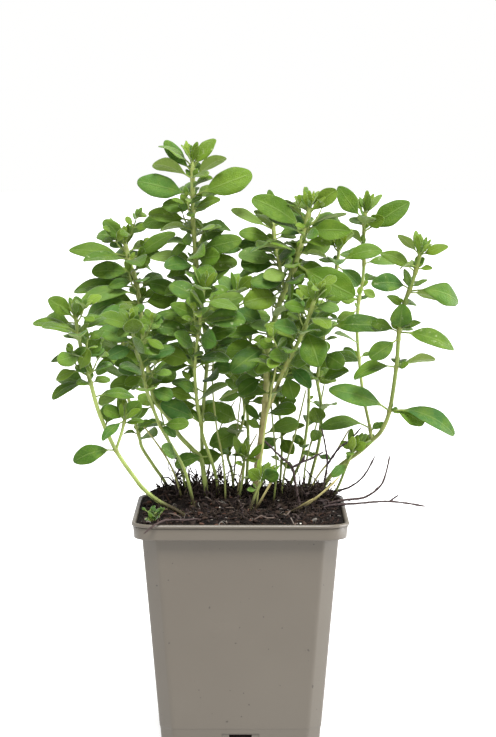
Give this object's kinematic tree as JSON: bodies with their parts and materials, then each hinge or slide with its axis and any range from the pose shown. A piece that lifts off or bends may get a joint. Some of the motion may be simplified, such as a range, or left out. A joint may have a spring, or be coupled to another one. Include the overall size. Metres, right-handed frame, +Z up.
{
  "type": "potted oregano plant",
  "caption": "Oregano plant with leafy upright stems growing from soil in a square tapering plastic herb pot with a rounded rim and drain slots at its foot",
  "frame": {"origin": "centre of the pot's flat underside, on the surface it stands on", "axes": "+Z up, -Y the front of the pot that the picture shows, +X to the right as seen from the front"},
  "size_m": [0.2181, 0.152, 0.3149],
  "materials": {
    "pot_plastic": "satin moulded plastic, warm grey-brown",
    "soil": "moist dark potting soil with fibres and a few perlite grains",
    "foliage": "matte green leaves with paler undersides, on pale green stalks",
    "dead_wood": "dry, dark grey-purple bark"
  },
  "bodies": {
    "root": {"pot": "pot_plastic", "soil": "soil", "stem_left": "foliage", "stem_left_rear": "foliage", "stem_mid_left": "foliage", "stem_mid_left_front": "foliage", "stem_tall": "foliage", "stem_sprouting": "foliage", "stem_trunk": "foliage", "stem_right_front": "foliage", "stem_right_rear": "foliage", "stem_right": "foliage", "stem_rear": "foliage", "thin_stem_left": "foliage", "thin_stem_centre": "foliage", "sprout_middle": "foliage", "sprout_front": "foliage", "sprout_right": "foliage", "dead_twig_low": "dead_wood", "dead_twig_hooked": "dead_wood", "dead_twig_rising": "dead_wood", "dead_twig_forked": "dead_wood", "dead_twig_knotted": "dead_wood", "dead_twig_left": "dead_wood", "root_over_rim": "dead_wood"}
  },
  "joints": []
}
